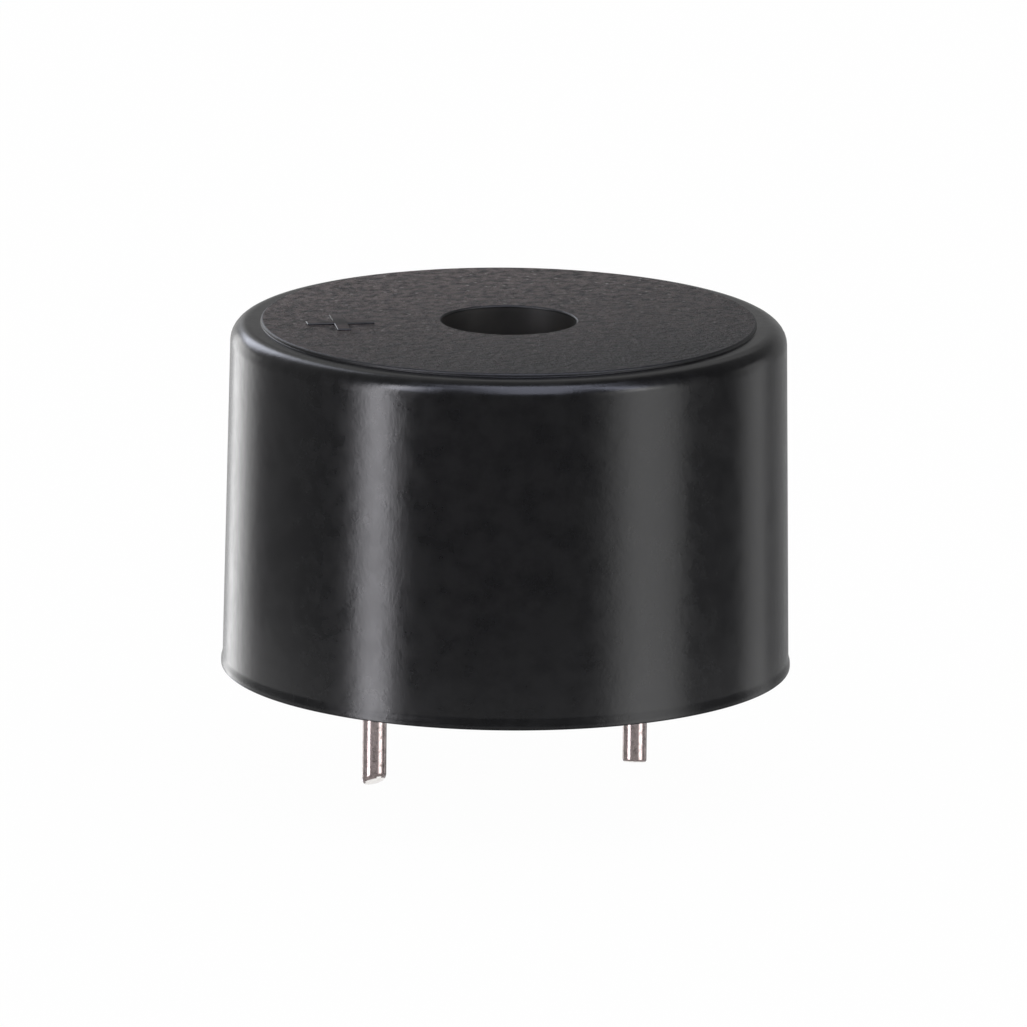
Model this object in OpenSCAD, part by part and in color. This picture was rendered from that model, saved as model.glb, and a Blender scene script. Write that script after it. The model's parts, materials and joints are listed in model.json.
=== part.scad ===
// Self-driven piezo buzzer: a moulded case whose stepped bore carries a
// three-terminal sounding diaphragm and a round driver board, closed from
// below by a casting compound that two lead pins pass through.
// The origin is the centre of the case's open rim, which is the seat on a
// circuit board.  +Z runs up the case axis to the sound port, and X is the
// line of the two pins, with the longer positive pin at -X.

/* [Case] */
// Outside diameter of the side wall at the seat
case_d = 16.36; // [16:0.02:17.6]
// Height from the seat to the narrow land round the raised disc
case_h = 10.06; // [9.6:0.02:11]
// Draft of the side wall, in degrees from the axis
case_draft = 1; // [0.2:0.1:1.6]
// Radius of the shoulder between the side wall and the land
shoulder_r = 0.6; // [0.3:0.05:0.7]
// Thickness of the side wall at the seat
wall_t = 0.98; // [0.8:0.02:1.2]
// Thickness of the roof beside the raised disc
roof_t = 1.2; // [0.9:0.1:1.6]
// How far the mould's parting lip stands out of the side wall
lip_out = 0.04; // [0.02:0.01:0.08]
// Height of the parting lip above the seat
lip_h = 0.3; // [0.2:0.05:0.5]
// Chamfer inside the open rim, where the compound is poured
mouth_chamfer = 0.12; // [0.05:0.01:0.2]

/* [Raised disc and sound port] */
// Diameter of the textured disc on the roof
disc_d = 14.28; // [13:0.02:14.5]
// Height of the disc above the land
disc_h = 0.1; // [0.08:0.01:0.2]
// Radius of the disc's outer edge
disc_edge_r = 0.07; // [0.03:0.01:0.08]
// Diameter of the sound port
port_d = 3.9; // [3:0.1:5]
// Radius of the port's upper edge
port_edge_r = 0.06; // [0.02:0.01:0.1]

/* [Stepped bore] */
// Width of the step that stops the driver board
board_step = 0.35; // [0.25:0.05:0.5]
// Width of the ledge that the diaphragm is bonded to
ledge_w = 0.65; // [0.5:0.05:0.8]
// Height of the resonance cavity between the diaphragm and the roof
cavity_h = 2.66; // [2.2:0.02:3]

/* [Diaphragm] */
// Gap between the metal plate and its bore
plate_gap = 0.1; // [0.05:0.01:0.2]
// Thickness of the metal plate
plate_t = 0.15; // [0.1:0.01:0.25]
// Ring of bare plate between the ceramic disc and the silicone bead
plate_ring = 1.25; // [1:0.05:2]
// Thickness of the ceramic disc
ceramic_t = 0.16; // [0.1:0.01:0.25]
// Thickness of the silver electrodes on the ceramic
silver_t = 0.03; // [0.02:0.01:0.05]
// Bare ceramic left round the main electrode
silver_margin = 0.35; // [0.25:0.05:0.6]
// Width of the feedback electrode's tongue
tongue_w = 1.8; // [1.4:0.1:2.4]
// Distance of the tongue's round end from the centre
tongue_start = 1.8; // [1.4:0.1:2.2]
// Bare ceramic between the two electrodes
silver_gap = 0.3; // [0.2:0.05:0.5]
// Height of the silicone bead under the plate's rim
bead_h = 0.45; // [0.3:0.05:0.6]
// How far the bead reaches in over the plate
bead_w = 0.5; // [0.35:0.05:0.6]

/* [Driver board] */
// Height of the board's underside above the seat
board_lift = 2.2; // [2:0.1:2.5]
// Thickness of the board
board_t = 0.8; // [0.6:0.1:1]
// Gap between the board and its bore
board_gap = 0.15; // [0.1:0.01:0.25]
// Thickness of the copper
copper_t = 0.05; // [0.03:0.01:0.08]
// Width of a copper track
track_w = 0.4; // [0.3:0.05:0.5]
// Distance from the board's edge to its farthest row of copper
far_edge = 1.95; // [1.6:0.05:2.2]
// Distance along that row from the chip to the wire's foot
far_step = 1.9; // [1.6:0.1:2.2]

/* [Pins] */
// Diameter of the lead pins
pin_d = 0.7; // [0.5:0.05:0.75]
// Diameter of the stouter shank that the compound and the board hold
shank_d = 0.8; // [0.8:0.05:0.9]
// How far behind the compound's face the shank begins
shank_in = 0.04; // [0.02:0.01:0.1]
// Distance between the two pins
pin_pitch = 7.6; // [7.2:0.1:8]
// Length of the positive pin below the seat
positive_out = 3.58; // [3.2:0.01:6]
// Length of the negative pin below the seat
negative_out = 3.1; // [2.8:0.01:5]
// Height of the pin above the board
pin_stub = 0.55; // [0.4:0.05:0.7]
// Radius of the edges at the pin's two ends
pin_edge_r = 0.1; // [0.05:0.01:0.15]
// Slant of the sheared end of the positive pin, in degrees
positive_shear = 27; // [5:1:35]
// Slant of the sheared end of the negative pin, in degrees
negative_shear = 7; // [2:1:20]
// Gap between a pin and its hole in the board, filled by solder
pin_hole_gap = 0.1; // [0.05:0.01:0.15]
// Radius of the copper ring round a pin
pin_pad_r = 0.95; // [0.85:0.05:1.05]
// Copper left bare round the solder cone of a pin
pin_pad_rim = 0.2; // [0.1:0.05:0.25]

/* [Casting compound] */
// Depth of the compound's face behind the seat
fill_recess = 0.32; // [0.3:0.02:0.6]
// Height that the compound climbs at the case wall
wall_creep = 0.16; // [0.08:0.02:0.24]
// Height that the compound climbs up each pin
pin_creep = 0.26; // [0.1:0.02:0.28]

/* [Chip resistors] */
// Length over the end caps
chip_l = 1.6; // [1.4:0.1:1.8]
// Width
chip_w = 0.8; // [0.7:0.05:0.9]
// Height
chip_h = 0.45; // [0.35:0.05:0.55]
// Length of an end cap
cap_l = 0.3; // [0.2:0.05:0.4]
// Thickness of an end cap's metal
cap_t = 0.04; // [0.03:0.01:0.06]
// Length of copper past a chip's end, under the solder fillet
land_reach = 0.25; // [0.2:0.05:0.35]

/* [Transistor] */
// Length of the moulded body
sot_l = 2.9; // [2.7:0.1:3.1]
// Width of the moulded body
sot_w = 1.3; // [1.2:0.05:1.4]
// Height of the moulded body
sot_h = 0.95; // [0.85:0.05:1.05]
// Gap between the body and the copper
sot_lift = 0.1; // [0.05:0.01:0.12]
// Distance between the two leads that share a side
sot_pitch = 1.9; // [1.8:0.1:2]
// Width of a lead
sot_lead_w = 0.4; // [0.35:0.05:0.45]
// Thickness of a lead
sot_lead_t = 0.12; // [0.1:0.01:0.14]
// How far a lead reaches out of the body
sot_reach = 0.6; // [0.5:0.05:0.7]

/* [Diaphragm leads] */
// Diameter of the thin wires to the diaphragm
lead_d = 0.25; // [0.15:0.01:0.35]
// Radius of their bends
lead_bend = 0.55; // [0.35:0.05:0.65]
// Radius of the solder domes at their ends
dome_r = 0.36; // [0.3:0.01:0.42]
// Height of those solder domes
dome_h = 0.22; // [0.15:0.01:0.3]

/* [Hidden] */

$fn = 96;
arc_steps = 10; // straight steps in a quarter of a small round edge
past = 1;       // how far a cutting solid reaches past what it cuts

// Radii of the case, from the outside in
foot_r = case_d / 2;
shoulder_z = case_h - shoulder_r;
shoulder_x = foot_r - shoulder_z * tan(case_draft) - shoulder_r / cos(case_draft);
board_bore_r = foot_r - wall_t;
plate_bore_r = board_bore_r - board_step;
cavity_r = plate_bore_r - ledge_w;
disc_r = disc_d / 2;
port_r = port_d / 2;

// Heights, from the roof down
disc_z = case_h + disc_h;
cavity_z = case_h - roof_t;
ledge_z = cavity_z - cavity_h;
plate_z = ledge_z - plate_t;
ceramic_z = plate_z - ceramic_t;
silver_z = ceramic_z - silver_t;
board_z = board_lift + board_t;
copper_z = board_z + copper_t;

// Round pieces that sit in the bore
plate_r = plate_bore_r - plate_gap;
ceramic_r = plate_r - bead_w - plate_ring;
silver_r = ceramic_r - silver_margin;
board_r = board_bore_r - board_gap;
pin_r = pin_d / 2;
shank_r = shank_d / 2;
shank_z = fill_recess + shank_in;
pin_x = pin_pitch / 2;
pin_hole_r = shank_r + pin_hole_gap;
lead_r = lead_d / 2;

// Places on the driver board, each the centre of a chip or a wire's foot
chip_span = chip_l - cap_l;
sot_foot_y = sot_w / 2 + sot_reach;
collector_row = sot_foot_y + pin_pad_r + chip_w;
collector_at = [-chip_span / 2 - sot_pitch / 2, collector_row];
bias_at = [chip_span / 2 - pin_x, -sot_foot_y - chip_l];
far_row = far_edge - board_r;
feedback_at = [-sot_pitch / 2, far_row + chip_span / 2];
main_foot = [sot_pitch + dome_r, collector_row];
feedback_foot = [feedback_at[0] - far_step, far_row];
plate_foot = [pin_x, bias_at[1]];

// Places on the underside of the diaphragm where those wires end
tongue_turn = 225;
tongue_joint = (tongue_start + silver_r) / 2;
plate_joint_r = ceramic_r + plate_ring / 2;
plate_joint_turn = -24;
main_end = [silver_r / 3, silver_r / 4];
feedback_end = tongue_joint * [cos(tongue_turn), sin(tongue_turn)];
plate_end = plate_joint_r * [cos(plate_joint_turn), sin(plate_joint_turn)];

// Points along an arc round c, from angle a to angle b
function arc(c, r, a, b) =
    let (n = max(2, ceil(arc_steps * abs(b - a) / 90)))
    [for (i = [0:n]) let (t = a + (b - a) * i / n) c + r * [cos(t), sin(t)]];

// ---- Case ----

// One closed outline: up the stepped bore, over the roof, down the outside
module case() {
    bore = [
        [board_bore_r + mouth_chamfer, 0],
        [board_bore_r, mouth_chamfer],
        [board_bore_r, board_z],
        [plate_bore_r, board_z],
        [plate_bore_r, ledge_z],
        [cavity_r, ledge_z],
        [cavity_r, cavity_z],
        [port_r, cavity_z]
    ];
    port_edge = arc([port_r + port_edge_r, disc_z - port_edge_r], port_edge_r, 180, 90);
    disc_edge = arc([disc_r - disc_edge_r, disc_z - disc_edge_r], disc_edge_r, 90, 0);
    shoulder = arc([shoulder_x, shoulder_z], shoulder_r, 90, case_draft);
    lip_x = foot_r - lip_h * tan(case_draft);
    foot = [[lip_x, lip_h], [lip_x + lip_out, lip_h - lip_out], [foot_r + lip_out, 0]];
    color("#2a2a2e")
        rotate_extrude($fn = 180)
            polygon(concat(bore, port_edge, disc_edge, [[disc_r, case_h]], shoulder, foot));
}

// ---- Diaphragm ----

module diaphragm_plate() {
    color("#c8a24a")
        translate([0, 0, plate_z])
            cylinder(r = plate_r, h = plate_t);
}

module piezo_ceramic() {
    color("#e8e2d0")
        translate([0, 0, ceramic_z])
            cylinder(r = ceramic_r, h = ceramic_t);
}

// Tongue with a round inner end, grown all round by grow
module tongue(grow) {
    half = tongue_w / 2 + grow;
    rotate(tongue_turn)
        polygon(concat(
            arc([tongue_start + tongue_w / 2, 0], half, 90, 270),
            [[ceramic_r + past, -half], [ceramic_r + past, half]]
        ));
}

module main_electrode() {
    color("#d9dadb")
        translate([0, 0, silver_z])
            linear_extrude(silver_t)
                difference() {
                    circle(r = silver_r);
                    tongue(silver_gap);
                }
}

module feedback_electrode() {
    color("#cfd1d3")
        translate([0, 0, silver_z])
            linear_extrude(silver_t)
                intersection() {
                    circle(r = silver_r);
                    tongue(0);
                }
}

// Silicone that fills the gap round the plate and laps over its rim
module diaphragm_bead() {
    color("#e9ecee")
        rotate_extrude()
            polygon([
                [plate_bore_r, ledge_z],
                [plate_r, ledge_z],
                [plate_r, plate_z],
                [plate_r - bead_w, plate_z],
                [plate_bore_r, plate_z - bead_h]
            ]);
}

// ---- Driver board ----

module at_pins() {
    for (side = [-1, 1])
        translate([side * pin_x, 0, 0])
            children();
}

module driver_board() {
    color("#c9a76a")
        translate([0, 0, board_lift])
            difference() {
                cylinder(r = board_r, h = board_t);
                at_pins()
                    translate([0, 0, -past])
                        cylinder(r = pin_hole_r, h = board_t + 2 * past);
            }
}

// Straight track between two points that share an x or a y
module track(a, b) {
    low = [min(a[0], b[0]), min(a[1], b[1])] - [track_w, track_w] / 2;
    high = [max(a[0], b[0]), max(a[1], b[1])] + [track_w, track_w] / 2;
    translate(low)
        square(high - low);
}

// The two lands of a chip, which its end caps stand on
module chip_lands(at, turn) {
    land_l = cap_l + land_reach;
    translate(at)
        rotate(turn)
            for (side = [-1, 1])
                translate([side * (chip_l / 2 - cap_l + land_l / 2), 0])
                    square([land_l, chip_w], center = true);
}

module sot_land(x, side) {
    land_l = sot_reach;
    translate([x, side * (sot_foot_y - land_l / 2 + land_reach)])
        square([sot_lead_w + track_w / 2, land_l], center = true);
}

// Each net joins its pins, chips and wires; the nets don't touch each other
module supply_net() {
    corner = [-pin_x, collector_at[1]];
    translate([-pin_x, 0])
        circle(r = pin_pad_r);
    track([-pin_x, 0], corner);
    track(corner, collector_at - [chip_l / 2, 0]);
    track([-pin_x, 0], [-pin_x, bias_at[1]]);
}

module collector_net() {
    over = [0, collector_at[1]];
    sot_land(0, 1);
    track([0, sot_foot_y], over);
    track(collector_at + [chip_l / 2, 0], main_foot);
    translate(main_foot)
        circle(r = dome_r + track_w / 2);
}

module base_net() {
    sot_land(-sot_pitch / 2, -1);
    under = [-sot_pitch / 2, bias_at[1]];
    track([-sot_pitch / 2, -sot_foot_y], under);
    track(bias_at + [chip_l / 2, 0], under);
    track(under, feedback_at + [0, chip_l / 2]);
}

module feedback_net() {
    track([feedback_at[0], far_row], feedback_foot);
    translate(feedback_foot)
        circle(r = dome_r + track_w / 2);
}

module ground_net() {
    corner = [pin_x, -sot_foot_y];
    translate([pin_x, 0])
        circle(r = pin_pad_r);
    sot_land(sot_pitch / 2, -1);
    track([pin_x, 0], corner);
    track([sot_pitch / 2, -sot_foot_y], corner);
    track(corner, plate_foot);
    translate(plate_foot)
        circle(r = dome_r + track_w / 2);
}

module copper_tracks() {
    color("#b8683a")
        translate([0, 0, board_z])
            linear_extrude(copper_t)
                difference() {
                    union() {
                        supply_net();
                        collector_net();
                        base_net();
                        feedback_net();
                        ground_net();
                        chip_lands(collector_at, 0);
                        chip_lands(bias_at, 0);
                        chip_lands(feedback_at, 90);
                    }
                    at_pins()
                        circle(r = pin_hole_r);
                }
}

// ---- Chip resistors ----

module place_chip(at, turn) {
    translate([at[0], at[1], copper_z])
        rotate(turn)
            children();
}

module chip_body(at, turn) {
    inner = [chip_l - 2 * cap_t, chip_w - 2 * cap_t, chip_h - 2 * cap_t];
    color("#e6e4df")
        place_chip(at, turn)
            translate([0, 0, chip_h / 2])
                cube(inner, center = true);
}

// A cap wraps five sides of one end of the body
module chip_cap(at, turn, side) {
    inner = [chip_l - 2 * cap_t, chip_w - 2 * cap_t, chip_h - 2 * cap_t];
    color("#c4c6c8")
        place_chip(at, turn)
            difference() {
                translate([side * chip_span / 2, 0, chip_h / 2])
                    cube([cap_l, chip_w, chip_h], center = true);
                translate([0, 0, chip_h / 2])
                    cube(inner, center = true);
            }
}

module bias_resistor() { chip_body(bias_at, 0); }
module bias_resistor_cap_1() { chip_cap(bias_at, 0, -1); }
module bias_resistor_cap_2() { chip_cap(bias_at, 0, 1); }
module feedback_resistor() { chip_body(feedback_at, 90); }
module feedback_resistor_cap_1() { chip_cap(feedback_at, 90, -1); }
module feedback_resistor_cap_2() { chip_cap(feedback_at, 90, 1); }
module collector_resistor() { chip_body(collector_at, 0); }
module collector_resistor_cap_1() { chip_cap(collector_at, 0, -1); }
module collector_resistor_cap_2() { chip_cap(collector_at, 0, 1); }

// Wedge of solder that stands on copper against a face at x = 0
module solder_wedge(width, height, reach) {
    rotate([90, 0, 0])
        translate([0, 0, -width / 2])
            linear_extrude(width)
                polygon([[0, 0], [reach, 0], [0, height]]);
}

module chip_solder() {
    color("#b9bcbf") {
        for (spot = [[bias_at, 0], [feedback_at, 90], [collector_at, 0]])
            place_chip(spot[0], spot[1])
                for (end = [0, 180])
                    rotate(end)
                        translate([chip_l / 2, 0, 0])
                            solder_wedge(chip_w, chip_h * 2 / 3, land_reach);
        for (foot = [[-sot_pitch / 2, -1], [sot_pitch / 2, -1], [0, 1]])
            translate([foot[0], foot[1] * sot_foot_y, copper_z])
                rotate(foot[1] * 90)
                    solder_wedge(sot_lead_w, sot_lead_t, land_reach);
    }
}

// ---- Transistor ----

sot_mid = sot_lift + sot_h / 2; // height of the leads where they leave the body

module transistor_body() {
    half = sot_w / 2;
    slope = sot_lead_t / 2; // how far the drafted faces lean in
    band = sot_lead_t / 2;
    right = [
        [half - slope, sot_lift],
        [half, sot_mid - band],
        [half, sot_mid + band],
        [half - slope, sot_lift + sot_h]
    ];
    left = [for (i = [3:-1:0]) [-right[i][0], right[i][1]]];
    color("#33333a")
        translate([-sot_l / 2, 0, copper_z])
            rotate([90, 0, 90])
                linear_extrude(sot_l)
                    polygon(concat(right, left));
}

// Gull-wing lead: out of the body, down, and flat on its copper land
module sot_lead(x, side) {
    out = sot_w / 2;
    knee = out + sot_reach / 3;
    heel = knee + sot_lead_t;
    band = sot_lead_t / 2;
    color("#c0c2c4")
        translate([x, 0, copper_z])
            rotate([90, 0, side * 90])
                translate([0, 0, -sot_lead_w / 2])
                    linear_extrude(sot_lead_w)
                        polygon([
                            [out, sot_mid - band],
                            [knee - band, sot_mid - band],
                            [heel - sot_lead_t, 0],
                            [out + sot_reach, 0],
                            [out + sot_reach, sot_lead_t],
                            [heel, sot_lead_t],
                            [knee + band, sot_mid + band],
                            [out, sot_mid + band]
                        ]);
}

module transistor_base_lead() { sot_lead(-sot_pitch / 2, -1); }
module transistor_emitter_lead() { sot_lead(sot_pitch / 2, -1); }
module transistor_collector_lead() { sot_lead(0, 1); }

// ---- Wires between the board and the diaphragm ----

// Plan distance from foot to end, to a thousandth so that the pieces of a
// wire meet face to face
function plan_run(foot, end) = round(1000 * norm(end - foot)) / 1000;

// Stands at foot on the copper, turned so that +X points at the end
module at_foot(foot, end) {
    way = end - foot;
    translate([foot[0], foot[1], copper_z])
        rotate(atan2(way[1], way[0]))
            children();
}

// Quarter bend in the XZ plane, its centre at the origin
module quarter_bend(bend) {
    rotate([90, 0, 0])
        rotate_extrude(angle = 90, $fn = 64)
            translate([bend, 0])
                circle(r = lead_r, $fn = 32);
}

// Up from foot on the copper, over in two round bends, and up to the end
module lead(foot, end, end_z, tint) {
    run = plan_run(foot, end);
    rise = end_z - copper_z;
    bend = min(lead_bend, run / 2 - lead_r, rise / 2 - dome_h);
    leg = rise / 2 - bend;
    color(tint)
        at_foot(foot, end) {
            cylinder(r = lead_r, h = leg, $fn = 32);
            translate([bend, 0, leg])
                rotate([0, -90, 0])
                    quarter_bend(bend);
            translate([bend, 0, rise / 2])
                rotate([0, 90, 0])
                    cylinder(r = lead_r, h = run - 2 * bend, $fn = 32);
            translate([run - bend, 0, rise - leg])
                rotate([0, 90, 0])
                    quarter_bend(bend);
            translate([run, 0, rise - leg])
                cylinder(r = lead_r, h = leg, $fn = 32);
        }
}

module main_lead() { lead(main_foot, main_end, silver_z, "#b03028"); }
module feedback_lead() { lead(feedback_foot, feedback_end, silver_z, "#2b5fae"); }
module plate_lead() { lead(plate_foot, plate_end, plate_z, "#3a3a3c"); }

// Solder round a wire that stands on a face at z = 0
module dome() {
    rotate_extrude($fn = 48)
        polygon([[lead_r, 0], [dome_r, 0], [dome_r * 2 / 3, dome_h * 2 / 3], [lead_r, dome_h]]);
}

module lead_solder(foot, end, end_z) {
    color("#b9bcbf")
        at_foot(foot, end) {
            dome();
            translate([plan_run(foot, end), 0, end_z - copper_z])
                mirror([0, 0, 1])
                    dome();
        }
}

module main_lead_solder() { lead_solder(main_foot, main_end, silver_z); }
module feedback_lead_solder() { lead_solder(feedback_foot, feedback_end, silver_z); }
module plate_lead_solder() { lead_solder(plate_foot, plate_end, plate_z); }

// ---- Pins ----

// Round pin with rolled-off ends and a stouter shank. The lower end is
// sheared on a slant that faces the turn direction and keeps its depth out
module pin(x, out, shear, turn) {
    top = board_z + pin_stub;
    lower = arc([pin_r - pin_edge_r, pin_edge_r - out], pin_edge_r, -90, 0);
    shank = [[pin_r, shank_z], [shank_r, shank_z]];
    upper = arc([shank_r - pin_edge_r, top - pin_edge_r], pin_edge_r, 0, 90);
    block = 4 * pin_d;
    color("#c9cacb")
        translate([x, 0, 0])
            difference() {
                rotate_extrude($fn = 64)
                    polygon(concat([[0, -out]], lower, shank, upper, [[0, top]]));
                rotate(turn)
                    translate([pin_edge_r - pin_r, 0, -out])
                        rotate([0, -shear, 0])
                            translate([-block / 2, -block / 2, -block])
                                cube(block);
            }
}

module positive_pin() { pin(-pin_x, positive_out, positive_shear, -70); }
module negative_pin() { pin(pin_x, negative_out, negative_shear, 180); }

// Solder that fills the hole in the board and stands round the pin above it
module pin_solder(x) {
    cone_r = pin_pad_r - pin_pad_rim;
    cone_h = pin_stub - pin_edge_r;
    color("#b9bcbf")
        translate([x, 0, 0])
            rotate_extrude($fn = 64)
                polygon([
                    [shank_r, board_lift],
                    [pin_hole_r, board_lift],
                    [pin_hole_r, copper_z],
                    [cone_r, copper_z],
                    [(cone_r + shank_r) / 2, copper_z + cone_h / 3],
                    [shank_r, board_z + cone_h]
                ]);
}

module positive_pin_solder() { pin_solder(-pin_x); }
module negative_pin_solder() { pin_solder(pin_x); }

// ---- Casting compound ----

// Fills the rim up to the board and the gap round the board's edge, with a
// hollow meniscus where it meets the wall and the pins
module casting_compound() {
    wall = concat(
        arc([board_bore_r - wall_creep, fill_recess - wall_creep], wall_creep, 90, 0),
        [[board_bore_r, board_z], [board_r, board_z], [board_r, board_lift], [0, board_lift]]
    );
    collar = concat(
        arc([pin_r + pin_creep, fill_recess - pin_creep], pin_creep, 180, 90),
        [[pin_r + pin_creep, shank_z], [pin_r, shank_z]]
    );
    color("#1d1d1f")
        difference() {
            union() {
                rotate_extrude($fn = 128)
                    polygon(concat([[0, fill_recess]], wall));
                at_pins()
                    rotate_extrude($fn = 64)
                        polygon(collar);
            }
            at_pins() {
                cylinder(r = pin_r, h = board_lift, $fn = 64);
                translate([0, 0, shank_z])
                    cylinder(r = shank_r, h = board_lift, $fn = 64);
            }
        }
}

case();
diaphragm_plate();
piezo_ceramic();
main_electrode();
feedback_electrode();
diaphragm_bead();
driver_board();
copper_tracks();
transistor_body();
transistor_base_lead();
transistor_emitter_lead();
transistor_collector_lead();
bias_resistor();
bias_resistor_cap_1();
bias_resistor_cap_2();
feedback_resistor();
feedback_resistor_cap_1();
feedback_resistor_cap_2();
collector_resistor();
collector_resistor_cap_1();
collector_resistor_cap_2();
chip_solder();
main_lead();
feedback_lead();
plate_lead();
main_lead_solder();
feedback_lead_solder();
plate_lead_solder();
positive_pin();
negative_pin();
positive_pin_solder();
negative_pin_solder();
casting_compound();
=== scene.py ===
"""Looks of a self-driven piezo buzzer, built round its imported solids.

The moulded case, the casting compound and the two lead pins are modelled here
at the size and place of the solids they stand for.  The pieces inside keep
their own meshes and get their finishes.  Lengths are in metres, +Z runs up the
case axis to the sound port, and the positive pin is at -X.
"""

import json
import logging
import math
from collections.abc import Callable, Iterator
from contextlib import contextmanager
from dataclasses import dataclass
from enum import Enum

import bmesh
import bpy
from mathutils import Matrix, Quaternion, Vector


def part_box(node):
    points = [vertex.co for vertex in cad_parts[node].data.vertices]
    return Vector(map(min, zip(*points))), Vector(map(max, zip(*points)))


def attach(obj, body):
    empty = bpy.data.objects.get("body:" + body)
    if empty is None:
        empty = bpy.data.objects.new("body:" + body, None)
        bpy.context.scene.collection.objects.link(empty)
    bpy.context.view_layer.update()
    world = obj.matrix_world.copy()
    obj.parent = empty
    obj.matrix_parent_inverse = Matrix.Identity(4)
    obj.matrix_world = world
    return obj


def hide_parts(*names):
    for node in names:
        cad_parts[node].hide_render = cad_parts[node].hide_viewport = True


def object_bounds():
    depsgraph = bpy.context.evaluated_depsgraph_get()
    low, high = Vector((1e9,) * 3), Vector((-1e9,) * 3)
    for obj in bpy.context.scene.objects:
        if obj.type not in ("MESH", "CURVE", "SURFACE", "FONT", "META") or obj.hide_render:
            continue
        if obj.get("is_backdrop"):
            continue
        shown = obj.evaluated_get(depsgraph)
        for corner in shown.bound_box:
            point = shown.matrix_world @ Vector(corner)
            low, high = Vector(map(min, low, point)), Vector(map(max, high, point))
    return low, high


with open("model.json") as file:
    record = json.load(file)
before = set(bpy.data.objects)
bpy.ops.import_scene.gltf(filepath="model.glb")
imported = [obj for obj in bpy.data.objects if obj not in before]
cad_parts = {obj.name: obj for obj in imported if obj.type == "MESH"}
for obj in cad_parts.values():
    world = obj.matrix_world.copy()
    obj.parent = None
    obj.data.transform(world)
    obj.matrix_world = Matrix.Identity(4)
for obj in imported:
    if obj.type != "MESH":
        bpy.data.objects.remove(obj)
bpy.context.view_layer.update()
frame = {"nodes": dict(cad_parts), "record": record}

log = logging.getLogger("buzzer")

MM = 0.001

Object = bpy.types.Object
Material = bpy.types.Material
Tree = bpy.types.NodeTree
Node = bpy.types.Node
Socket = bpy.types.NodeSocket
Triple = tuple[float, float, float]
Colour = Triple
Corner = Triple
Outline = list[tuple[float, float]]
Test = Callable[[Vector, Vector], bool]
Amount = float | Socket


# ---------------------------------------------------------------- mesh tools


class Pick(Enum):
    """What edit mode selects."""

    POINTS = "VERT"
    EDGES = "EDGE"
    FACES = "FACE"


class Merge(Enum):
    """How one mesh is worked into another."""

    ADD = "UNION"
    CUT = "DIFFERENCE"


def select_only(*pieces: Object) -> None:
    """Selects these objects and nothing else, with the first one active.

    Args:
        pieces: The objects to select.
    """
    bpy.ops.object.select_all(action="DESELECT")
    for piece in pieces:
        piece.select_set(True)
    bpy.context.view_layer.objects.active = pieces[0]


@contextmanager
def editing(piece: Object, pick: Pick = Pick.POINTS, whole: bool = False) -> Iterator[None]:
    """Opens a piece in edit mode, and closes it again.

    Args:
        piece: The mesh object to edit.
        pick: What edit mode selects.
        whole: Whether all of it is selected at first, or nothing.
    """
    select_only(piece)
    bpy.ops.object.mode_set(mode="EDIT")
    bpy.ops.mesh.select_mode(type=pick.value)
    bpy.ops.mesh.select_all(action="SELECT" if whole else "DESELECT")
    try:
        yield
    finally:
        bpy.ops.object.mode_set(mode="OBJECT")


def pick_faces(piece: Object, test: Test) -> None:
    """Selects the faces that pass a test, in edit mode.

    Args:
        piece: The mesh object, already open for editing.
        test: Takes a face's middle and its normal.
    """
    mesh = bmesh.from_edit_mesh(piece.data)
    for face in mesh.faces:
        face.select_set(test(face.calc_center_median(), face.normal))
    bmesh.update_edit_mesh(piece.data)


def pick_edges(piece: Object, test: Test) -> None:
    """Selects the edges whose two ends pass a test, in edit mode.

    Args:
        piece: The mesh object, already open for editing.
        test: Takes the places of an edge's two ends.
    """
    mesh = bmesh.from_edit_mesh(piece.data)
    for edge in mesh.edges:
        edge.select_set(test(edge.verts[0].co, edge.verts[1].co))
    bmesh.update_edit_mesh(piece.data)


def paint_faces(piece: Object, index: int, test: Test) -> None:
    """Gives the faces that pass a test one of a piece's materials.

    Args:
        piece: The mesh object.
        index: The place of that material among the piece's own.
        test: Takes a face's middle and its normal.
    """
    with editing(piece, Pick.FACES):
        pick_faces(piece, test)
        piece.active_material_index = index
        bpy.ops.object.material_slot_assign()


def new_primitive(name: str, add: Callable[..., set], **sizes: object) -> Object:
    """Adds a primitive, names it, and moves its place and size into its mesh.

    Args:
        name: The object's name.
        add: One of the bpy.ops.mesh.primitive operators.
        sizes: What that operator takes.

    Returns:
        The new object.
    """
    bpy.ops.object.select_all(action="DESELECT")
    add(**sizes)
    piece = bpy.context.active_object
    piece.name = name
    piece.data.name = name
    bpy.ops.object.transform_apply(location=True, rotation=True, scale=True)
    return piece


def unite(piece: Object, other: Object, how: Merge = Merge.ADD) -> None:
    """Joins or cuts a piece with another mesh, which is used up.

    Args:
        piece: The mesh object that stays.
        other: The mesh object that is added or taken away.
        how: Whether it is added or taken away.
    """
    select_only(piece)
    boolean = piece.modifiers.new("boolean", "BOOLEAN")
    boolean.object, boolean.operation, boolean.solver = other, how.value, "EXACT"
    bpy.ops.object.modifier_apply(modifier=boolean.name)
    bpy.data.objects.remove(other)


def smooth(piece: Object, angle: float = 32) -> None:
    """Shades a piece smooth, save where its faces turn by more than this angle in degrees."""
    select_only(piece)
    bpy.ops.object.shade_smooth_by_angle(angle=math.radians(angle))


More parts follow.
